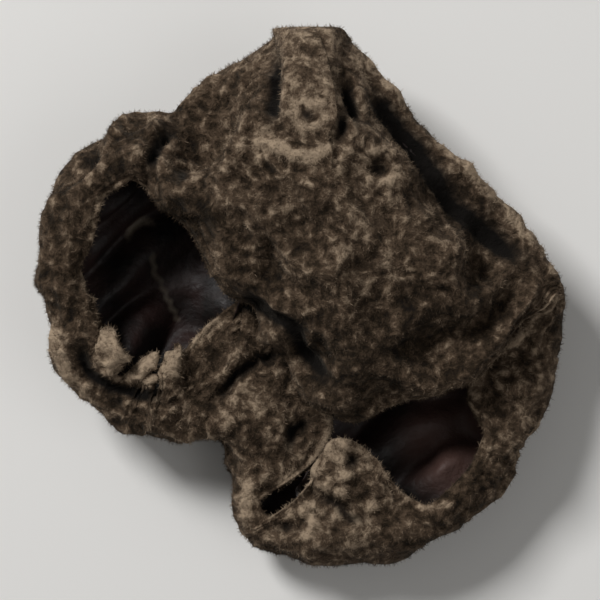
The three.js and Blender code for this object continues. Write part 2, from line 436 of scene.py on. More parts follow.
@dataclass(frozen=True)
class Pit:
    """A small round hollow with painted shade in it, and a raised ring."""

    side: Side  # the part of the sheet it lies on
    x: float  # its middle
    y: float
    wide: float  # radius of the hollow
    deep: float  # how deep it is
    ring_at: float = 1.9  # where its ring lies, in radii
    ring_wide: float = 0.8  # half the width of the ring, in radii
    ring_high: float = 0.35  # the ring's height, as a share of the depth
    pale: float = 0.5  # how pale the ring is
    dark: float = 0.8  # how dark the painted shade in the hollow is

    def shape(self, spot: Array) -> tuple[Array, Array, Array]:
        """Work out the pit's height, how pale its ring is and how dark the painted shade in its hollow is.

        Args:
            spot: Points of the sheet.

        Returns:
            The height in millimetres, the paleness and the darkness of the painted shade, each 0 to 1.
        """
        away = np.hypot(spot[..., 0] - self.x, spot[..., 1] - self.y)
        ring = np.exp(-(((away - self.ring_at * self.wide) / (self.ring_wide * self.wide)) ** 2))
        hollow = np.exp(-((away / self.wide) ** 2))
        # the hollow's darkness is painted shade
        return self.deep * (self.ring_high * ring - hollow), self.pale * ring, self.dark * hollow


@dataclass(frozen=True)
class Patch:
    """A soft area of the felt that is paler, darker or more lumpy than the rest."""

    x: float  # its middle
    y: float
    wide: float  # how far it reaches along x
    tall: float  # how far it reaches along y
    shade: float  # how much paler it is, below zero where it is darker
    lumpy: float = 0.0  # how thickly it is covered in small lumps, 0 to 1
    border: Pair = (0.5, 1.1)  # where it fades out, as shares of its reach

    def strength(self, seen: Array) -> Array:
        """Return 1 in the middle of the area, down to 0 beyond its border."""
        away = np.hypot((seen[..., 0] - self.x) / self.wide, (seen[..., 1] - self.y) / self.tall)
        return 1 - rise(away, *self.border)


MARKS: tuple[Mark | Pit, ...] = (
    # the long slit beside the straight edge, painted dark as shade, and the thin rim outside it
    Mark(
        Side.CAP,
        ((3.1, 10.6), (4.2, 9.3), (6.0, 7.2), (7.3, 5.4), (8.9, 3.6), (10.4, 2.4), (11.6, 1.8)),
        0.56, -0.65, 0.0, 0.0, 1.0,
    ),
    Mark(
        Side.BOTH,
        ((2.8, 12.3), (5.2, 9.7), (7.2, 7.5), (9.0, 5.6), (11.3, 3.1), (12.6, 2.1)),
        0.34, 0.3, 0.0, 0.75,
    ),
    Mark(Side.BOTH, ((12.2, 2.0), (13.0, 1.6)), 0.5, 0.3, 0.0, 1.0),
    # the short slit, painted dark as shade, and the pale strip between the two
    Mark(Side.CAP, ((2.1, 10.9), (2.4, 9.8), (2.9, 8.4)), 0.33, -0.9, 0.14, 0.3, 1.0),
    Mark(Side.CAP, ((2.5, 11.9), (3.6, 9.9), (4.9, 8.4)), 0.26, 0.15, 0.0, 0.8),
    # both sides of the lug, painted dark as shade in their grooves, and the crescent below it
    Mark(Side.CAP, ((-1.25, 12.4), (-1.35, 10.2), (-1.5, 8.3)), 0.4, -0.6, 0.1, 0.0, 0.95),
    Mark(Side.CAP, ((2.0, 9.4), (2.0, 8.2), (1.7, 7.6)), 0.3, -0.4, 0.1, 0.0, 0.9),
    Mark(Side.CAP, ((-2.6, 7.6), (-1.4, 7.4), (-0.3, 6.9), (0.7, 6.9), (1.6, 7.4)), 0.3, 0.3, 0.0, 0.8),
    # where the whorl folds off the cap, painted dark as shade in the fold
    Mark(Side.BOTH, ((-6.4, 9.2), (-7.1, 7.7), (-7.6, 6.0)), 0.34, -0.7, 0.12, 0.2, 0.9),
    # below the front lip, a band painted dark as the shadow in the gap there
    Mark(
        Side.BOTH,
        ((-3.1, 0.6), (-2.6, -0.3), (-1.5, -0.9), (-0.4, -1.6), (0.0, -2.5), (0.7, -3.4), (1.6, -4.4)),
        0.4, -0.5, 0.0, 0.0, 1.0,
    ),
    # on the tongue, beside it and on the broad lobe, with painted shade in the grooves
    Mark(
        Side.MARGIN,
        ((-1.0, -2.8), (-2.0, -3.1), (-2.9, -3.5), (-3.5, -4.2), (-4.2, -5.1)),
        0.3, -0.6, 0.15, 0.3, 0.8,
    ),
    Mark(Side.MARGIN, ((0.7, -6.2), (-0.4, -6.7), (-0.8, -7.9)), 0.34, -0.6, 0.15, 0.4, 0.9),
    Mark(Side.MARGIN, ((0.6, -9.9), (1.8, -10.4), (2.4, -11.1), (3.3, -11.2)), 0.28, -0.4, 0.14, 0.3, 0.7),
    Mark(Side.MARGIN, ((-1.5, -11.5), (-0.2, -11.6)), 0.28, -0.3, 0.1, 0.3, 0.8),
    Mark(Side.MARGIN, ((-2.9, -8.2), (-2.7, -10.2), (-2.9, -12.0)), 0.4, 0.15, 0.0, 0.8),
    # the hollow behind the curls, painted dark as shade, and the pale edge outside it
    Mark(
        Side.BOTH,
        ((-11.1, -2.2), (-10.7, -3.7), (-9.5, -4.6), (-8.2, -4.8), (-6.8, -5.0)),
        0.34, -0.35, 0.1, 0.3, 0.9,
    ),
    Mark(Side.BOTH, ((-12.4, -0.6), (-12.2, -2.2), (-11.6, -3.8), (-10.2, -5.4)), 0.4, 0.12, 0.0, 0.8),
    # threads inside the whorl
    Mark(Side.FACE, ((-8.9, 2.8), (-8.8, 3.4), (-8.1, 4.0), (-7.3, 3.7)), 0.2, 0.1, 0.0, 0.55),
    Mark(Side.FACE, ((-7.6, 2.5), (-7.5, 1.4), (-7.0, 0.3), (-6.2, -1.4)), 0.17, 0.05, 0.0, 0.35),
    # pits, each with painted shade in its hollow
    Pit(Side.CAP, 0.27, 8.7, 0.3, 0.35),
    Pit(Side.CAP, 3.8, 6.4, 0.42, 0.4),
    Pit(Side.CAP, -5.9, 6.0, 0.36, 0.3),
    Pit(Side.BOTH, -10.6, 7.0, 0.45, 0.3),
    Pit(Side.MARGIN, -9.2, -5.3, 0.3, 0.25),
    Pit(Side.MARGIN, 2.6, -8.2, 0.4, 0.3),
)

PATCHES: tuple[Patch, ...] = (
    Patch(-3.4, 6.8, 3.0, 2.4, 0.3),  # upper left of the cap
    Patch(-3.4, 9.8, 2.6, 1.8, -0.45),  # beside the scar
    Patch(-5.6, 4.4, 2.0, 3.2, -0.45),  # beside the whorl
    Patch(2.4, 3.4, 4.2, 4.6, 0.3, 0.55),  # middle of the cap
    Patch(2.6, -2.4, 4.6, 2.4, -0.35),  # front of the cap
    Patch(8.2, -0.9, 2.4, 3.0, -0.2),  # right side of the cap
    Patch(11.4, 0.4, 2.0, 1.4, 0.25),  # right corner
    Patch(-10.0, 6.4, 2.8, 2.4, -0.15, 0.3),  # top of the whorl
    Patch(-12.4, 1.0, 1.8, 3.4, 0.05, 0.4),  # left side of the whorl
    Patch(-2.2, -3.8, 2.8, 2.8, 0.35, 0.7),  # tongue
    Patch(1.4, -9.8, 4.6, 3.6, 0.75, 1.0),  # broad lobe
    Patch(10.9, -3.5, 2.2, 5.0, 0.3, 0.4),  # narrow fold
)


@dataclass(frozen=True)
class Relief:
    """Everything finer than the solid's folds: wrinkles, the lug below the scar, slits and pits.

    A pair says where something starts, and where it is complete. A value that ends in shade is how
    much the crests are painted paler than the hollows, as painted light on the crests and painted
    shade in the hollows.
    """

    upper_half: Pair = (-0.25, 0.1)  # the height of the border between the two halves, -1 to 1
    level: Pair = (-0.2, 0.15)  # how much the felt faces up, from -1 to 1, where it has marks
    cap_left: Pair = (0.98, 1.1)  # how far out the marks of the cap end
    margin_met: Pair = (0.8, 0.95)  # how far out those of the margin start
    face_open: Pair = (0.0, 0.3)  # how much the spore face faces up where it has marks
    grown: Pair = (0.04, 0.3)  # how far out all of the relief starts
    wrinkle: float = 0.27  # branching wrinkles all over
    wrinkle_width: float = 2.4
    wrinkle_base: float = 0.45
    wrinkle_sharp: float = 1.5
    wrinkle_bend: float = 0.5
    wrinkle_bend_width: float = 3.1
    wrinkle_shade: float = 0.4
    calm: float = 0.4  # how much calmer they get
    calmed: Pair = (1.0, 1.4)
    streak: float = 0.13  # they run out from the stub
    streak_end: Pair = (0.45, 0.95)
    arc: float = 0.1  # they run round the stub
    arc_start: Pair = (0.35, 0.7)
    web: float = 0.16  # fine ridges that join up into a web
    web_width: float = 0.8
    web_half: float = 0.2
    web_middle: float = 0.45
    web_gap: float = 0.4  # how much weaker it is in places
    web_gap_width: float = 3.6
    web_bend: float = 0.35
    web_bend_scale: float = 0.9
    web_shift: float = 5.5
    web_shade: float = 0.6
    lump: float = 0.3  # small lumps, where the patches have them
    lump_half: float = 0.62
    lump_middle: float = 0.5
    lump_shade: float = 1.1
    pucker: float = 0.07
    pucker_width: float = 0.5
    pucker_shade: float = 0.35
    fade: float = 0.45  # how much paler the felt is near the stub
    faded: Pair = (0.2, 0.85)
    lug_middle: float = 0.4  # the lug is an upright bar, this far to the right, with a round end
    lug_half: float = 1.25
    lug_border: Pair = (0.6, 1.1)
    lug_end: float = 8.95  # where the round end starts
    lug_high: float = 0.7
    lug_pale: float = 0.14
    warm_light_x: float = 7.7  # middle of the pool of warm brown light painted inside the lower mouth
    warm_light_y: float = -7.2
    warm_light_wide: float = 2.6

    def ring_noise(self, at: Samples, around: float, outward: float, seed: float) -> Array:
        """Read a noise that follows the sheet and closes on itself round the mouth.

        Args:
            at: Where to read it.
            around: Noise waves in one station's width.
            outward: Noise waves from the stub to the rim.
            seed: Shifts the noise.

        Returns:
            Values from about -1 to 1.
        """
        turn = at.place / len(STATIONS) * 2 * np.pi
        radius = around * len(STATIONS) / (2 * np.pi)
        ring = np.stack([radius * np.cos(turn), radius * np.sin(turn), outward * at.out], axis=-1)
        return self.noise_at(ring, seed)

    def noise_at(self, spot: Array, seed: float) -> Array:
        """Return a smooth noise of about -1 to 1, with one wave in each unit of length."""
        values = [noise.noise(Vector(point)) for point in spot.reshape(-1, 3) + seed]
        return 1.6 * np.array(values).reshape(spot.shape[:-1])

    def cells_at(self, spot: Array) -> tuple[Array, Array]:
        """Part the sheet into small cells.

        Args:
            spot: Points of the sheet.

        Returns:
            The web between the cells, 1 on it and 0 inside them, and a dome on each cell, 1 on its top.
        """
        gaps, domes = [], []
        for point in spot.reshape(-1, 3) / self.web_width + self.web_shift:
            near = Vector(point) + self.web_bend * noise.noise_vector(Vector(point) * self.web_bend_scale)
            first, second, *_ = noise.voronoi(near)[0]
            gaps.append(second - first)
            domes.append(1 - min(first / self.lump_half, 1) ** 2)
        web = np.exp(-((np.array(gaps).reshape(spot.shape[:-1]) / self.web_half) ** 2))
        return web, np.array(domes).reshape(spot.shape[:-1])

    def upper(self, place: Array) -> Array:
        """Return 1 on the sheet's upper half and 0 on the half it lies on."""
        return rise(np.cos(place / len(STATIONS) * 2 * np.pi), *self.upper_half)

    def lug(self, at: Samples) -> Array:
        """Return 1 on the lug below the scar, down to 0 beside it."""
        aside = np.hypot(at.spot[..., 0] - self.lug_middle, np.clip(self.lug_end - at.spot[..., 1], 0, None))
        return self.upper(at.place) * (1 - rise(aside / self.lug_half, *self.lug_border))

    def warm_light(self, seen: Array) -> Array:
        """Return 1 where warm brown light is painted inside the lower mouth, down to 0 elsewhere."""
        away = np.hypot(seen[..., 0] - self.warm_light_x, seen[..., 1] - self.warm_light_y)
        return np.exp(-((away / self.warm_light_wide) ** 4))

    def marked(self, at: Samples, level: Array) -> tuple[Array, Array]:
        """Add up the marks.

        Args:
            at: Where on the sheet.
            level: 1 where the felt faces up, down to 0 where it faces down.

        Returns:
            Their height, and how strongly they show, from -1, dark with painted shade, to 1, pale.
        """
        upper = self.upper(at.place)
        where = {
            Side.CAP: upper * (1 - rise(at.out, *self.cap_left)) * level,
            Side.MARGIN: rise(at.out, *self.margin_met) * (1 - upper) * level,
            Side.BOTH: level,
            Side.FACE: (1 - at.felt) * rise(-at.facing, *self.face_open),
        }
        light = self.lug_pale * self.lug(at) * at.felt
        # dark adds up the painted shade of the marks
        dark, height = np.zeros_like(light), np.zeros_like(light)
        for mark in MARKS:
            high, lit, dim = mark.shape(at.seen)
            painted = where[mark.side] * (1 if mark.side is Side.FACE else at.felt)
            height += high * where[mark.side]
            light = np.maximum(light, lit * painted)
            dark = np.maximum(dark, dim * painted)
        return height, light * (1 - dark) - dark

    def heights(self, at: Samples) -> tuple[Array, Array, Array, Array]:
        """Work out the relief.

        Args:
            at: Where on the sheet.

        Returns:
            What folds the whole sheet, what lies on the felt alone, how pale the felt is, with painted light
            on the crests and painted shade in the hollows, and how strongly the marks on it show, from -1,
            dark with painted shade, to 1, pale.
        """
        grown = rise(at.out, *self.grown)
        calmer = 1 - self.calm * rise(at.out, *self.calmed)
        level = rise(at.facing, *self.level)
        shifts = [self.noise_at(at.spot / self.wrinkle_bend_width, seed) for seed in (1.3, 8.1, 15.7)]
        bent = at.spot + self.wrinkle_bend * np.stack(shifts, axis=-1)
        valleys = np.abs(self.noise_at(bent / self.wrinkle_width, seed=3.1))
        ridged = self.wrinkle_base - self.wrinkle_sharp * valleys
        streaks = self.ring_noise(at, around=1.9, outward=2.2, seed=4.4)
        streaks *= 1 - rise(at.out, *self.streak_end)
        arcs = self.ring_noise(at, around=0.5, outward=9.0, seed=7.7) * rise(at.out, *self.arc_start)
        whole = grown * calmer * (self.wrinkle * ridged + self.streak * streaks + self.arc * arcs)
        high, pale = self.marked(at, level)
        whole += self.lug_high * self.lug(at) + high

        web, dome = self.cells_at(at.spot)
        gaps = np.clip(self.noise_at(at.spot / self.web_gap_width, seed=11.9), -1, 1)
        patchy = 1 - self.web_gap + self.web_gap * gaps
        puckers = self.noise_at(at.spot / self.pucker_width, seed=17.7)
        lumpy = np.clip(summed(PATCHES, "lumpy", at.seen), 0, 1) * level
        lumps = lumpy * (dome - self.lump_middle)
        ridges = patchy * (1 - lumpy) * (web - self.web_middle)
        skin = grown * (self.web * ridges + self.lump * lumps + self.pucker * puckers)
        # the shade values paint the crests paler and the hollows darker: painted light and painted shade
        shade = self.web_shade * ridges + self.lump_shade * lumps
        shade = grown * (shade + self.pucker_shade * puckers + self.wrinkle_shade * ridged)
        shade += self.fade * self.upper(at.place) * (1 - rise(at.out, *self.faded))
        shade += level * summed(PATCHES, "shade", at.seen)
        return whole, skin, shade, pale


class Wiring:
    """Adds nodes to one tree of them and joins them up."""

    def __init__(self, tree: bpy.types.NodeTree) -> None:
        """Take the tree."""
        self.tree = tree

    def put(self, socket: Socket, value: object) -> None:
        """Give a socket a value, or join another node's output to it.

        Args:
            socket: The input.
            value: A number, a colour, a name or an output socket.
        """
        if isinstance(value, Socket):
            self.tree.links.new(value, socket)
        else:
            socket.default_value = value

    def node(self, kind: str, inputs: dict[str | int, object], **settings: object) -> bpy.types.Node:
        """Add a node.

        Args:
            kind: Its type.
            inputs: What goes into its inputs, by their names or numbers.
            settings: Its settings.

        Returns:
            The node.
        """
        node = self.tree.nodes.new(kind)
        for name, value in settings.items():
            setattr(node, name, value)
        for name, value in inputs.items():
            self.put(node.inputs[name], value)
        return node

    def sum(self, kind: str, first: object, second: object) -> Socket:
        """Return the result of a sum, such as ADD or MULTIPLY, of two numbers or sockets."""
        return self.node("ShaderNodeMath", {0: first, 1: second}, operation=kind).outputs["Value"]


class Shading(Wiring):
    """The nodes of one material. Its patterns are sized in millimetres."""

    def __init__(self, name: str) -> None:
        """Start a material.

        Args:
            name: Its name.
        """
        self.material = bpy.data.materials.new(name)
        self.material.use_nodes = True
        super().__init__(self.material.node_tree)
        self.shader = self.tree.nodes["Principled BSDF"]
        place = self.node("ShaderNodeTexCoord", {}).outputs["Object"]
        scale = (1 / MM, 1 / MM, 1 / MM)
        self.spot = self.node("ShaderNodeMapping", {"Vector": place, "Scale": scale}).outputs["Vector"]

    def noise(self, per_mm: float, detail: float = 3.0, rough: float = 0.55) -> Socket:
        """Return a noise of about 0.3 to 0.7, with so many waves per millimetre."""
        inputs = {"Vector": self.spot, "Scale": per_mm, "Detail": detail, "Roughness": rough}
        return self.node("ShaderNodeTexNoise", inputs).outputs["Fac"]

    def grains(self, per_mm: float) -> Socket:
        """Return the distance from the middle of the nearest rounded grain, 0 to about 0.7."""
        inputs = {"Vector": self.spot, "Scale": per_mm, "Smoothness": 0.4}
        return self.node("ShaderNodeTexVoronoi", inputs, feature="SMOOTH_F1").outputs["Distance"]

    def painted(self, name: str) -> Socket:
        """Return a value that the mesh carries, by the name of its attribute."""
        return self.node("ShaderNodeAttribute", {}, attribute_name=name).outputs["Fac"]

    def spread(self, value: Socket, low: float, high: float, top: float = 1.0) -> Socket:
        """Return the value with low turned into 0 and high into the top, and kept between them."""
        inputs = {"Value": value, "From Min": low, "From Max": high, "To Max": top}
        return self.node("ShaderNodeMapRange", inputs).outputs["Result"]

    def mix(self, share: object, first: object, second: object) -> Socket:
        """Return two colours mixed, with that share of the second."""
        return self.node("ShaderNodeMix", {0: share, 6: first, 7: second}, data_type="RGBA").outputs[2]

    def add(self, total: object, value: Socket, middle: float, weight: float) -> Socket:
        """Return the total with a weighted pattern added, whose middle value changes nothing."""
        return self.sum("ADD", total, self.sum("MULTIPLY", self.sum("SUBTRACT", value, middle), weight))

    def warp(self, per_mm: float, far_mm: float) -> None:
        """Bend every pattern that is added after this, so that none of them runs regularly.

        Args:
            per_mm: The waves of the bending in a millimetre.
            far_mm: How far it bends, in millimetres.
        """
        bend = self.node("ShaderNodeTexNoise", {"Vector": self.spot, "Scale": per_mm}).outputs["Color"]
        inputs = {0: bend, 1: (far_mm, far_mm, far_mm), 2: self.spot}
        self.spot = self.node("ShaderNodeVectorMath", inputs, operation="MULTIPLY_ADD").outputs["Vector"]

    def ramp(self, value: Socket, tones: Tones) -> Socket:
        """Turn a value into a colour between set tones.

        Args:
            value: The value, 0 to 1.
            tones: Where each tone lies and its red, green and blue on the screen.

        Returns:
            The colour.
        """
        node = self.node("ShaderNodeValToRGB", {"Fac": value})
        stops = node.color_ramp.elements
        for index, (place, tone) in enumerate(tones):
            stop = stops[index] if index < len(stops) else stops.new(place)
            stop.position = place
            stop.color = hue(tone)
        return node.outputs["Color"]

    def finish(self, looks: dict[str, object], height: Socket, deep_mm: float) -> bpy.types.Material:
        """Dress the shader.

        Args:
            looks: What goes into the shader's inputs, by their names.
            height: The height of its bump, 0 to 1.
            deep_mm: What a height of 1 stands for, in millimetres.

        Returns:
            The finished material.
        """
        bump = self.node("ShaderNodeBump", {"Height": height, "Distance": deep_mm * MM})
        for name, value in {**looks, "Normal": bump.outputs["Normal"]}.items():
            self.put(self.shader.inputs[name], value)
        return self.material


@dataclass(frozen=True)
class Felt:
    """The dull, grey-brown felt on the sheet's back. Values in per_mm are waves in a millimetre."""

    name: str = "felt"
    paler: float = 0.0  # how much paler it is than the bare skin
    base: float = 0.49  # how pale the bare skin is, 0 to 1
    tones: Tones = (  # from the darkest to the palest; the painted shade of the hollows lies towards the dark end and the painted light of the crests towards the pale end
        (0.0, (18, 12, 7)),
        (0.3, (43, 33, 22)),
        (0.6, (82, 67, 53)),
        (1.0, (158, 139, 117)),
    )
    slit: Tone = (9, 6, 4)  # the colour of the painted shade in the slits, gaps and hollows
    darkest: float = -0.8  # the value of a mark whose painted shade has that colour
    patches_per_mm: float = 0.25
    blotches_per_mm: float = 1.3
    mottle_per_mm: float = 2.6
    grains_per_mm: float = 1.9
    grain_middle: float = 0.42  # the middle distance in a grain
    fibres_per_mm: float = 11.0
    deep_mm: float = 0.2  # depth of the bump
    sheen: float = 0.14  # how much the short hairs glow along the edges
    sheen_tone: Tone = (160, 148, 132)

    def make(self) -> bpy.types.Material:
        """Build the material.

        Returns:
            The felt.
        """
        w = Shading(self.name)
        patches = w.noise(self.patches_per_mm)
        w.warp(per_mm=0.9, far_mm=0.8)
        mottle = w.noise(self.mottle_per_mm, detail=4.0, rough=0.65)
        grains = w.grains(self.grains_per_mm)
        fibres = w.noise(self.fibres_per_mm, detail=4.0, rough=0.75)
        marked = w.painted("pale")
        tone = self.base + self.paler
        for pattern, middle, weight in (
            (patches, 0.5, 0.45),
            # the shade attribute: painted light on the crests and painted shade in the hollows, with the
            # paler and darker patches
            (w.painted("shade"), 0.0, 0.3),
            (w.noise(self.blotches_per_mm, detail=2.0), 0.5, 0.5),
            (mottle, 0.5, 1.1),
            (grains, self.grain_middle, -0.45),
            (fibres, 0.5, 0.75),
            (w.spread(marked, 0.0, 1.0), 0.0, 0.55),
        ):
            tone = w.add(tone, pattern, middle, weight)
        # marks below zero are painted shade, mixed towards the slit colour
        colour = w.mix(w.spread(marked, 0.0, self.darkest), w.ramp(tone, self.tones), hue(self.slit))
        looks = {
            "Base Color": colour,
            "Roughness": 0.9,
            "Specular IOR Level": 0.15,
            "Sheen Weight": self.sheen,
            "Sheen Roughness": 0.45,
            "Sheen Tint": hue(self.sheen_tone),
        }
        height = w.add(mottle, grains, self.grain_middle, weight=-0.6)
        height = w.add(height, fibres, middle=0.5, weight=0.25)
        return w.finish(looks, height, self.deep_mm)


@dataclass(frozen=True)
class SporeFace:
    """The smooth, nearly black face on the inside of the sheet."""

    black: Tone = (20, 15, 13)  # its darkest colour
    brown: Tone = (50, 32, 29)  # in the browner patches
    warm: Tone = (88, 64, 57)  # in the pool of warm brown light painted inside the lower mouth
    thread: Tone = (186, 172, 150)  # on its threads
    rough: float = 0.48  # how rough it is at least
    deep_mm: float = 0.12

    def make(self) -> bpy.types.Material:
        """Build the material.

        Returns:
            The spore face.
        """
        w = Shading("spore_face")
        patches = w.spread(w.noise(per_mm=0.35, detail=4.0), low=0.42, high=0.68)
        colour = w.mix(patches, hue(self.black), hue(self.brown))
        # the warm attribute paints a pool of warm brown light inside the lower mouth
        colour = w.mix(w.spread(w.painted("warm"), low=0.0, high=1.0, top=0.8), colour, hue(self.warm))
        threads = w.spread(w.painted("pale"), low=0.1, high=1.0, top=0.8)
        uneven = w.spread(w.noise(per_mm=1.2), low=0.3, high=0.7, top=0.2)
        looks = {
            "Base Color": w.mix(threads, colour, hue(self.thread)),
            "Roughness": w.sum("ADD", uneven, self.rough),
            "Specular IOR Level": 0.4,
        }
        return w.finish(looks, w.noise(per_mm=1.6, detail=5.0, rough=0.6), self.deep_mm)


@dataclass(frozen=True)
class FruitBody:
    """The whole mushroom: one closed surface of felt outside and spore face inside."""

    sheet: Sheet = Sheet()
    relief: Relief = Relief()
    around: int = 416  # columns of the mesh
    crowding: float = 1.3  # how much closer together they are along the curls
    crowded: Pair = (10.2, 1.35)  # the middle of the curls and their reach, in stations
    scar_rows: int = 5
    cap_rows: int = 104
    lip_rows: int = 40
    edge_rows: int = 4
    face_lip_rows: int = 20
    face_cap_rows: int = 60
    close_rows: int = 2
    hollow_start: float = 1 / 6  # how far out the bottom of the hollow lies
    face_share: float = 0.65  # how much of the sheet's relief shows on the spore face
    edge_round: float = 0.8  # how round the free edge is
    tip_pale: float = 0.5  # how pale the free edge is, and where it and the curls become so
    tips: Pair = (1.8, 2.0)
    curl_tips: Pair = (1.45, 1.8)
    scar_deep: float = 0.3
    settle: float = 0.8  # how far the lowest folds are pressed flat
    give: float = 0.05  # how far the surface may stand out past the solid's box
    hold_from: float = 0.5  # how far inside the box it starts to be held

    def rings(self) -> tuple[Array, Array]:
        """Lay out the rings of the mesh, from the middle of the scar to the bottom of the hollow.

        Returns:
            How far out on the sheet each lies, and its side: 1 on the felt, -1 on the spore face, and
            between the two round the free edge.
        """
        lip, cap = self.face_lip_rows, self.face_cap_rows
        felt = [0.0] * self.scar_rows + [k / self.cap_rows for k in range(self.cap_rows)]
        felt += [1 + k / self.lip_rows for k in range(self.lip_rows + 1)]
        edge = [math.cos(math.pi * (k + 1) / (self.edge_rows + 1)) for k in range(self.edge_rows)]
        face = [2 - k / lip for k in range(lip)] + [self.hollow_start] * self.close_rows
        face[lip:lip] = [1 - (1 - self.hollow_start) * k / cap for k in range(cap + 1)]
        side = [1.0] * len(felt) + edge + [-1.0] * len(face)
        return np.array(felt + [2.0] * len(edge) + face), np.array(side)

    def places(self) -> Array:
        """Spread the columns of the mesh round the mouth, closer together along the curls.

        Returns:
            The place of each column among the stations.
        """
        middle, reach = self.crowded
        fine = np.linspace(0, len(STATIONS), 100 * len(STATIONS) + 1)
        crowd = 1 + self.crowding * np.exp(-(((fine - middle) / reach) ** 4))
        total = np.concatenate([[0], np.cumsum((crowd[1:] + crowd[:-1]) / 2)])
        return np.interp(np.linspace(0, total[-1], self.around + 1), total, fine)

    def shape(self) -> tuple[Array, dict[str, Array]]:
        """Work out where each vertex lies, and what the materials read there.

        Returns:
            The points in millimetres, ring by ring, and the values to paint.
        """
        place = np.mod(self.places(), len(STATIONS))
        out, side = (values[:, None] for values in self.rings())
        place, out, side = np.broadcast_arrays(place[None, :], out, side)
        spot = self.sheet.bare(place, out)
        normal, along = self.sheet.outwards(place, out)
        half = self.sheet.thickness(out) / 2
        felt = (side + 1) / 2
        lift = self.sheet.folds(place, out, spot) + side * half
        seen = spot + normal * lift[..., None]
        samples = Samples(place, out, spot, seen, normal[..., 2], felt)
        whole, skin, shade, pale = self.relief.heights(samples)
        lift = lift + whole * (self.face_share + (1 - self.face_share) * felt) + skin * felt
        bulge = np.where(np.abs(side) < 1, np.sqrt(1 - side**2) * half * self.edge_round, 0)
        points = spot + normal * lift[..., None] + along * bulge[..., None]
        self.close_ends(points)
        low = np.where(side > 0, 0, self.sheet.at_margin)
        points[..., 2] = np.maximum(points[..., 2] - self.settle, low)
        curled = np.clip(summed(CURLS, "pale", place), 0, 1) * rise(out, *self.curl_tips)
        tips = np.maximum(self.tip_pale * rise(out, *self.tips), curled) * felt
        # pale below zero is the marks' painted shade, which the pale tips leave as it is
        pale = np.where(pale < 0, pale, np.maximum(tips, pale))
        # warm says where warm brown light is painted on the spore face
        return points, {"shade": shade, "pale": pale, "warm": self.relief.warm_light(seen) * (1 - felt)}

    def close_ends(self, points: Array) -> None:
        """Draw the first rings in to the middle of the scar and the last to the bottom of the hollow.

        Args:
            points: The points, which are changed.
        """
        first, last = self.scar_rows, len(points) - self.close_rows - 1
        scar, deep = points[first, :-1].mean(axis=0), points[last, :-1].mean(axis=0)
        for k in range(first):
            share = k / first
            points[k] = scar + (points[first] - scar) * share
            points[k, :, 1] -= self.scar_deep * (1 - share**2)
        for k in range(1, self.close_rows + 1):
            points[last + k] = deep + (points[last] - deep) * (1 - k / self.close_rows)

    def hold(self, points: Array) -> None:
        """Draw in softly what stands out past the solid's box.

        Args:
            points: The points, which are changed.
        """
        for axis, corner in enumerate(CAD_BOX[1]):
            start = corner / MM - self.hold_from
            room = self.hold_from + self.give
            over = np.maximum(np.abs(points[..., axis]) - start, 0)
            drawn = room * np.tanh(over / room)
            points[..., axis] -= np.sign(points[..., axis]) * (over - drawn)

    def build(self) -> bpy.types.Object:
        """Make the mesh and dress it.

        Returns:
            The finished piece.
        """
        points, painted = self.shape()
        side = self.rings()[1]
        last = len(side) - 1
        flat = points.reshape(-1, 3)
        points = points - (flat.min(axis=0) + flat.max(axis=0)) / 2 * np.array([1, 1, 0])
        self.hold(points)
        grid = bmesh.new()
        bmesh.ops.create_grid(grid, x_segments=self.around, y_segments=last, size=1)
        layers = {name: grid.verts.layers.float.new(name) for name in painted}
        for face in grid.faces:
            face.smooth = True
            row = round((face.calc_center_median().y + 1) / 2 * last - 0.5)
            face.material_index = int(side[row + 1] == -1)
        for vert in grid.verts:
            column = round((vert.co.x + 1) / 2 * self.around)
            row = round((vert.co.y + 1) / 2 * last)
            for name, layer in layers.items():
                vert[layer] = painted[name][row, column]
            vert.co = points[row, column] * MM
        bmesh.ops.remove_doubles(grid, verts=grid.verts, dist=1e-7)
        bmesh.ops.recalc_face_normals(grid, faces=grid.faces)
        mesh = bpy.data.meshes.new("fruit_body_skin")
        grid.to_mesh(mesh)
        grid.free()
        mesh.materials.append(Felt().make())
        mesh.materials.append(SporeFace().make())
        piece = add_object("fruit_body_skin", mesh)
        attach(piece, "root")
        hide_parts("fruit_body")
        return piece


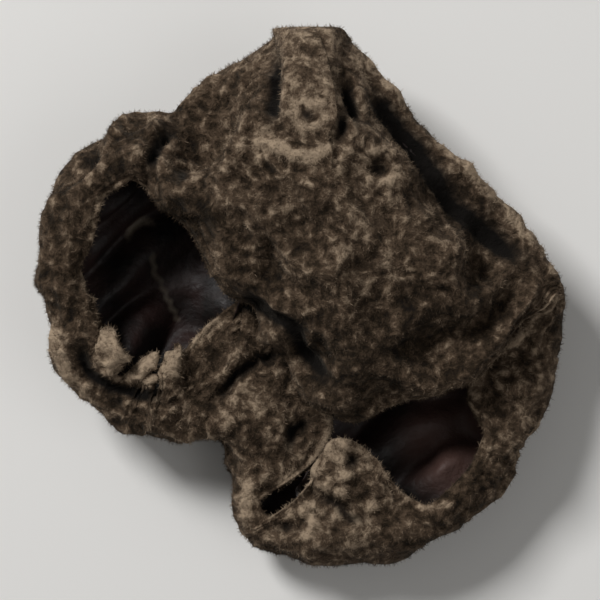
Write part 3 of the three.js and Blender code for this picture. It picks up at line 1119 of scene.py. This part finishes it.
@dataclass(frozen=True)
class Nap:
    """The short stiff hairs of the felt, as small three-sided cones. Lengths are in millimetres."""

    name: str
    seed: int  # where its chance starts
    per_mm2: float = 17.0  # hairs on a square millimetre
    length: float = 0.27
    radius: float = 0.02  # half its width at the root
    lean: float = 50.0  # how far it may lean, in degrees
    floor_gap: float = 0.6  # lowest part of the felt that has hairs
    bare_below: float = -0.35  # none grow where the painted shade of a mark is below this
    paler: float = 0.12  # how much paler they are than the skin
    shortest: float = 0.5  # the shortest hair, as a share of the length

    def grow(self, skin: bpy.types.Object) -> bpy.types.Object:
        """Set the hairs on the felt and make them one mesh.

        Args:
            skin: The piece they grow on.

        Returns:
            The finished piece.
        """
        carrier = add_object(self.name + "_roots", skin.data)
        hairs = self.wiring(skin.data.materials[0])
        carrier.modifiers.new("nap", "NODES").node_group = hairs
        bpy.context.view_layer.update()
        depsgraph = bpy.context.evaluated_depsgraph_get()
        mesh = bpy.data.meshes.new_from_object(carrier.evaluated_get(depsgraph))
        mesh.name = self.name
        bpy.data.objects.remove(carrier)
        bpy.data.node_groups.remove(hairs)
        mesh.materials.clear()
        mesh.materials.append(Felt(self.name + "_felt", self.paler).make())
        piece = add_object(self.name, mesh)
        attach(piece, "root")
        return piece

    def wiring(self, felt: bpy.types.Material) -> bpy.types.NodeTree:
        """Join up the nodes that set one cone on each root.

        Args:
            felt: The material that the hairs grow on.

        Returns:
            The node group.
        """
        tree = bpy.data.node_groups.new(self.name, "GeometryNodeTree")
        tree.interface.new_socket("Skin", in_out="INPUT", socket_type="NodeSocketGeometry")
        tree.interface.new_socket("Hairs", in_out="OUTPUT", socket_type="NodeSocketGeometry")
        w = Wiring(tree)
        skin = w.node("NodeGroupInput", {}).outputs["Skin"]
        on_felt = w.node("GeometryNodeMaterialSelection", {"Material": felt}).outputs["Selection"]
        spot = w.node("GeometryNodeInputPosition", {}).outputs["Position"]
        height = w.node("ShaderNodeSeparateXYZ", {"Vector": spot}).outputs["Z"]
        clear = w.sum("GREATER_THAN", height, self.floor_gap * MM)
        marks = w.node("GeometryNodeInputNamedAttribute", {"Name": "pale"}, data_type="FLOAT")
        # keeps the hairs off the painted shade of the slits
        open_felt = w.sum("GREATER_THAN", marks.outputs["Attribute"], self.bare_below)
        chosen = w.sum("MULTIPLY", on_felt, w.sum("MULTIPLY", open_felt, clear))
        ground = {"Mesh": skin, "Selection": chosen, "Density": self.per_mm2 / MM**2, "Seed": self.seed}
        roots = w.node("GeometryNodeDistributePointsOnFaces", ground)
        reach = math.radians(self.lean)
        ends = {"Min": (-reach, -reach, -math.pi), "Max": (reach, reach, math.pi), "Seed": self.seed}
        tilt = w.node("FunctionNodeRandomValue", ends, data_type="FLOAT_VECTOR").outputs["Value"]
        upright = {"Rotation": roots.outputs["Rotation"], "Rotate By": tilt}
        turn = w.node("FunctionNodeRotateRotation", upright, rotation_space="LOCAL")
        scale = {2: self.shortest, 3: 1.0, "Seed": self.seed + 1}
        grown = w.node("FunctionNodeRandomValue", scale, data_type="FLOAT").outputs[1]
        sizes = {"Radius Top": 0.0, "Radius Bottom": self.radius * MM, "Depth": self.length * MM}
        cone = w.node("GeometryNodeMeshCone", {"Vertices": 3, **sizes}).outputs["Mesh"]
        where = {"Points": roots.outputs["Points"], "Rotation": turn.outputs["Rotation"]}
        sets = w.node("GeometryNodeInstanceOnPoints", {**where, "Instance": cone, "Scale": grown})
        real = w.node("GeometryNodeRealizeInstances", {"Geometry": sets.outputs["Instances"]})
        w.node("NodeGroupOutput", {"Hairs": real.outputs["Geometry"]})
        return tree


@dataclass(frozen=True)
class Studio:
    """The pale floor, the soft lights and the camera that looks straight down. Sizes are in metres."""

    floor_half: float = 1.5
    floor_colour: tuple[float, ...] = (0.78, 0.77, 0.75, 1)
    floor_rough: float = 0.9
    sky_colour: tuple[float, ...] = (1.0, 0.99, 0.97, 1)
    sky_strength: float = 0.16
    view_width: float = 0.0300
    lens: float = 200.0
    sensor: float = 36.0
    nearest: float = 0.001
    lamps: tuple[tuple[str, Spot, float, float], ...] = (  # name, place, side and watts of each
        ("key", (-0.18, 0.19, 0.24), 0.1, 1.15),
        ("fill", (0.25, -0.1, 0.25), 0.3, 0.2),
    )

    def build(self) -> None:
        """Make the floor, the lights and the camera."""
        self.make_floor()
        self.make_lamps()
        world = bpy.data.worlds.new("studio")
        world.use_nodes = True
        sky = world.node_tree.nodes["Background"]
        sky.inputs["Color"].default_value = self.sky_colour
        sky.inputs["Strength"].default_value = self.sky_strength
        bpy.context.scene.world = world
        bpy.context.scene.view_settings.view_transform = "Standard"
        self.make_camera()

    def make_floor(self) -> None:
        """Make the floor."""
        plane = bmesh.new()
        bmesh.ops.create_grid(plane, x_segments=1, y_segments=1, size=self.floor_half)
        mesh = bpy.data.meshes.new("floor")
        plane.to_mesh(mesh)
        plane.free()
        paper = bpy.data.materials.new("pale_floor")
        paper.use_nodes = True
        shader = paper.node_tree.nodes["Principled BSDF"]
        shader.inputs["Base Color"].default_value = self.floor_colour
        shader.inputs["Roughness"].default_value = self.floor_rough
        mesh.materials.append(paper)
        floor = add_object("floor", mesh)

    def make_lamps(self) -> None:
        """Make the square soft lights, which point at the middle of the object."""
        for name, place, size, watts in self.lamps:
            light = bpy.data.lights.new(name, "AREA")
            light.size = size
            light.energy = watts
            lamp = add_object(name, light)
            lamp.location = place
            lamp.rotation_euler = (-Vector(place)).to_track_quat("-Z", "Y").to_euler()

    def make_camera(self) -> None:
        """Make the camera, straight above the middle of the object."""
        data = bpy.data.cameras.new("camera")
        data.lens = self.lens
        data.sensor_width = self.sensor
        data.clip_start = self.nearest
        camera = add_object("camera", data)
        top = CAD_BOX[1].z / 2
        camera.location = (0, 0, top + self.view_width * self.lens / self.sensor)
        camera.rotation_euler = Euler((0, 0, 0))
        bpy.context.scene.camera = camera


def main() -> None:
    """Build the studio and the mushroom."""
    logging.basicConfig(level=logging.INFO, format="%(name)s: %(message)s")
    Studio().build()
    LOG.info("studio is set")
    noise.seed_set(CHANCE)
    piece = FruitBody().build()
    LOG.info("%s has %d faces", piece.name, len(piece.data.polygons))
    for nap in (Nap("felt_nap_a", 3), Nap("felt_nap_b", 11)):
        hairs = nap.grow(piece)
        LOG.info("%s has %d faces", hairs.name, len(hairs.data.polygons))


if __name__ == "__main__":
    main()
